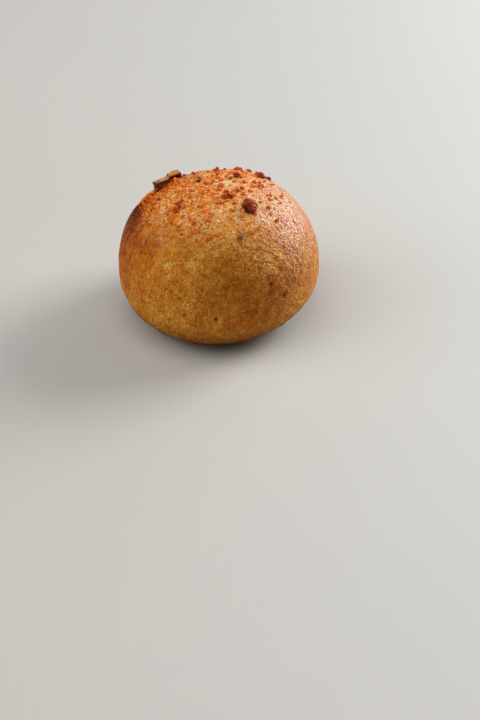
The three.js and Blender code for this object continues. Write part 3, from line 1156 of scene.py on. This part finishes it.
def petal_burn_and_shade(along, around):
    """How burnt the corners of the petal's outer and inner side are, with painted shade on the inner side
    inside the curl.
    """
    edge = np.minimum(along * 2, np.minimum(around, 1 - around) * 1.4)
    rim = 0.4 * np.exp(-edge / 0.07)
    crease = 0.35 * np.exp(-(((along - 0.5) / 0.05) ** 2))
    lip = 0.2 * np.exp(-around / 0.12) * smooth_step(along, 0.6, 0.4)
    left_end = 0.3 * np.exp(-along / 0.08)
    outer = 0.08 + rim + crease + lip + left_end
    # The inner side is darker partly from frying and partly as painted shade inside the curl, most towards
    # the right end.
    inner = 0.42 + 0.22 * smooth_step(along, 0.45, 0.8)
    return both_sides(outer, inner)


class BUN_OT_onion_petal(bpy.types.Operator):
    """Lay the curled onion petal on the shoulder"""

    bl_idname = "bun.onion_petal"
    bl_label = "Onion petal"

    def execute(self, context):
        petal = context.scene.bun_petal
        steps_along = np.linspace(0, 1, 121)
        steps_around = np.linspace(0, 1, 61)
        fibre_count = 9
        fibre_depth = 0.05
        crinkle_depth = 0.00022
        free_height = 0.0015
        along, around = np.meshgrid(steps_along, steps_around, indexing="ij")
        fibre = np.sin(2 * np.pi * fibre_count * around + 2.0 * np.sin(5 * along))
        outer = bend_petal(along, around, 0.5 + fibre_depth * fibre, petal)
        inner = bend_petal(along, around, -0.5 + fibre_depth * fibre, petal)
        corners, faces = closed_sheet(outer, inner)
        blisters = bumps(corners, size=0.0018, seed=7)
        lifted = np.clip(corners[:, 2] / free_height - 0.5, 0, 1)[:, None]
        crinkles = np.stack([bumps(corners, size=0.0024, seed=seed) for seed in (21, 22, 23)], axis=-1)
        corners += crinkle_depth * lifted * crinkles
        place, axes = petal_axes(petal, context.scene.bun_crust)
        corners = corners @ axes + place
        burn_and_shade = petal_burn_and_shade(along, around) + 0.3 * blisters
        right_end = np.exp(-(1 - along) / 0.05)
        material = petal_material(petal)
        piece = add_piece("onion_petal_fried", corners, faces, material, "fried_onion", "onion_petal")
        paint(piece, "frying_and_shade", burn_and_shade, both_sides(fibre, fibre), both_sides(right_end, right_end))
        return {"FINISHED"}


# Stage


class Softbox(NamedTuple):
    """A square lamp aimed at the bun: its bearing and height in degrees, its size in metres and its light."""

    name: str
    bearing: float
    height: float
    size: float
    colour: tuple = WARM_LIGHT
    gloss_only: bool = False


KEY = Softbox("key_softbox", 30, 25, 0.75)
SHEEN = Softbox("sheen_softbox", 48, 14, 1.1, COOL_LIGHT, gloss_only=True)
FILL = Softbox("fill_softbox", 190, 30, 1.2)
TOP = Softbox("top_softbox", 225, 72, 1.4)


def aim(location, target, lift=0.0, swing=0.0):
    """World matrix of a lamp or camera at a location that looks at a target, turned down and aside."""
    turn = (Vector(target) - Vector(location)).to_track_quat("-Z", "Y").to_matrix().to_4x4()
    trim = Matrix.Rotation(swing, 4, "Y") @ Matrix.Rotation(lift, 4, "X")
    return Matrix.Translation(location) @ turn @ trim


def add_softbox(softbox, power, target):
    """Adds a square lamp with a power, aimed at a target."""
    distance = 1.4
    lamp = bpy.data.lights.new(softbox.name, "AREA")
    lamp.shape = "SQUARE"
    lamp.size = softbox.size
    lamp.color = softbox.colour
    lamp.energy = power
    box = add_object(softbox.name, lamp)
    location = Vector(target) + Vector(facing(softbox.bearing, 90 - softbox.height)) * distance
    box.matrix_world = aim(location, target)
    box.visible_diffuse = not softbox.gloss_only


def add_floor(stage):
    """Adds the square floor."""
    mesh = bpy.data.meshes.new("floor")
    half = stage.floor_size / 2
    corners = [(-half, -half, 0), (half, -half, 0), (half, half, 0), (-half, half, 0)]
    mesh.from_pydata(corners, [], [(0, 1, 2, 3)])
    mesh.materials.append(floor_material(stage))
    floor = add_object("floor", mesh)


def add_room_light(strength):
    """Adds even white light from all round."""
    world = bpy.data.worlds.new("studio")
    world.use_nodes = True
    background = world.node_tree.nodes["Background"]
    background.inputs["Color"].default_value = (1.0, 1.0, 1.0, 1.0)
    background.inputs["Strength"].default_value = strength
    bpy.context.scene.world = world


def add_camera(stage):
    """Camera whose line of sight to the bun has the photo's height angle, framed as in the photo."""
    sensor = 36.0
    front = 270
    focal_pixels = stage.lens / sensor * max(PICTURE_SIZE)
    target = Vector((0, 0, stage.sight_height))
    location = target + Vector(facing(front, 90 - np.degrees(stage.elevation))) * stage.distance
    right_of_middle = stage.sight_pixel[0] - PICTURE_SIZE[0] / 2
    above_middle = PICTURE_SIZE[1] / 2 - stage.sight_pixel[1]
    lens = bpy.data.cameras.new("camera")
    lens.sensor_width = sensor
    lens.lens = stage.lens
    camera = add_object("camera", lens)
    lift = -np.arctan(above_middle / focal_pixels)
    swing = np.arctan(right_of_middle / focal_pixels)
    camera.matrix_world = aim(location, target, lift, swing)
    bpy.context.scene.camera = camera


class BUN_OT_stage(bpy.types.Operator):
    """Set up the floor, the light and the camera"""

    bl_idname = "bun.stage"
    bl_label = "Stage"

    def execute(self, context):
        stage = context.scene.bun_stage
        target = (0, 0, stage.sight_height)
        add_floor(stage)
        add_room_light(stage.room_light)
        add_softbox(KEY, stage.key_power, target)
        add_softbox(SHEEN, stage.sheen_power, target)
        add_softbox(FILL, stage.fill_power, target)
        add_softbox(TOP, stage.top_power, target)
        add_camera(stage)
        context.scene.view_settings.view_transform = "Standard"
        return {"FINISHED"}


# Sidebar


class BUN_PT_sidebar(bpy.types.Panel):
    """Lists the pieces of the bun and its stage"""

    bl_idname = "BUN_PT_sidebar"
    bl_label = "Onion bun"
    bl_space_type = "VIEW_3D"
    bl_region_type = "UI"
    bl_category = "Onion bun"

    def draw(self, context):
        for operator in OPERATORS:
            self.layout.operator(operator.bl_idname)
        for name in SETTINGS:
            settings = getattr(context.scene, name)
            box = self.layout.box()
            for key in settings.bl_rna.properties.keys():
                if key not in ("rna_type", "name"):
                    box.prop(settings, key)


SETTINGS = {
    "bun_crust": CrustSettings,
    "bun_crumbs": CrumbSettings,
    "bun_petal": PetalSettings,
    "bun_stage": StageSettings,
}
OPERATORS = (
    BUN_OT_stage,
    BUN_OT_crust,
    BUN_OT_nuggets,
    BUN_OT_coarse_crumbs,
    BUN_OT_fine_crumbs,
    BUN_OT_onion_petal,
)


def register():
    for settings in SETTINGS.values():
        bpy.utils.register_class(settings)
    for name, settings in SETTINGS.items():
        setattr(bpy.types.Scene, name, bpy.props.PointerProperty(type=settings))
    for operator in OPERATORS:
        bpy.utils.register_class(operator)
    bpy.utils.register_class(BUN_PT_sidebar)


def unregister():
    bpy.utils.unregister_class(BUN_PT_sidebar)
    for operator in reversed(OPERATORS):
        bpy.utils.unregister_class(operator)
    for name, settings in SETTINGS.items():
        delattr(bpy.types.Scene, name)
        bpy.utils.unregister_class(settings)


def main():
    register()
    bpy.ops.bun.stage()
    bpy.ops.bun.crust()
    bpy.ops.bun.nuggets()
    bpy.ops.bun.coarse_crumbs()
    bpy.ops.bun.fine_crumbs()
    bpy.ops.bun.onion_petal()


if __name__ == "__main__":
    main()
